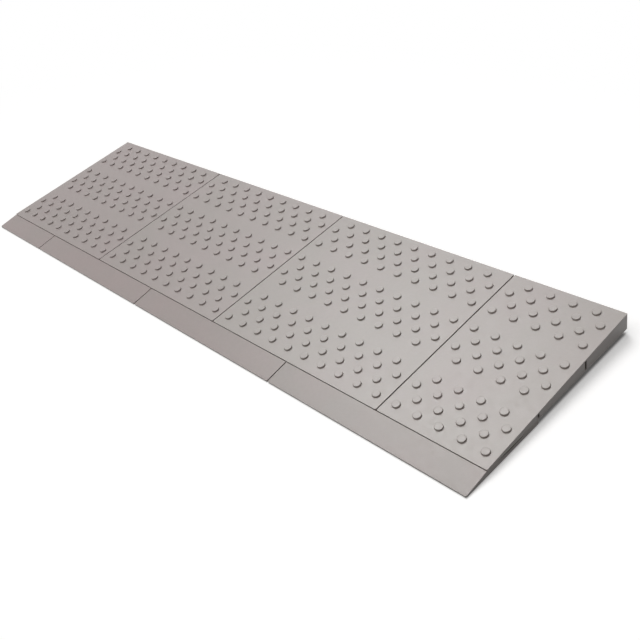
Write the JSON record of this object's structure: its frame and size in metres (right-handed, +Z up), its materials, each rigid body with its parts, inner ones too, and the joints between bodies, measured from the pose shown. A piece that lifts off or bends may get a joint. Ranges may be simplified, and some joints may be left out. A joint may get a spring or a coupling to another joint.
{
  "type": "threshold ramp",
  "caption": "Low modular threshold ramp: studded grey plastic tiles with ribbed undersides, laid in brick bond on sloping front lips, clipped together and standing on rubber pads.",
  "frame": {"origin": "on the floor, under the middle of the whole ramp", "axes": "+X along the row of tiles, +Y uphill to the threshold, +Z up"},
  "size_m": [0.8388, 0.233, 0.023],
  "materials": {
    "tile_plastic": "fine matt grain",
    "lip_plastic": "fine matt grain",
    "clip_plastic": "satin",
    "pad_rubber": "matt"
  },
  "bodies": {
    "base": {"half_lip": "lip_plastic", "lip_1": "lip_plastic", "lip_2": "lip_plastic", "lip_3": "lip_plastic", "pins_half_lip": "clip_plastic", "pins_lip_1": "clip_plastic", "pins_lip_2": "clip_plastic", "pins_lip_3": "clip_plastic", "seam_key_1_front": "clip_plastic", "seam_key_1_back": "clip_plastic", "seam_key_2_front": "clip_plastic", "seam_key_2_back": "clip_plastic", "seam_key_3_front": "clip_plastic", "seam_key_3_back": "clip_plastic"},
    "tile_1": {"tile_1": "tile_plastic", "pads_tile_1": "pad_rubber"},
    "tile_2": {"tile_2": "tile_plastic", "pads_tile_2": "pad_rubber"},
    "tile_3": {"tile_3": "tile_plastic", "pads_tile_3": "pad_rubber"},
    "half_tile": {"half_tile": "tile_plastic", "pads_half_tile": "pad_rubber"}
  },
  "joints": [
    {"name": "tile_1_lift", "type": "slide", "parent": "base", "child": "tile_1", "axis": [0, 0, 1], "range_m": [0, 0.04]},
    {"name": "tile_2_lift", "type": "slide", "parent": "base", "child": "tile_2", "axis": [0, 0, 1], "range_m": [0, 0.04]},
    {"name": "tile_3_lift", "type": "slide", "parent": "base", "child": "tile_3", "axis": [0, 0, 1], "range_m": [0, 0.04]},
    {"name": "half_tile_lift", "type": "slide", "parent": "base", "child": "half_tile", "axis": [0, 0, 1], "range_m": [0, 0.04]}
  ]
}
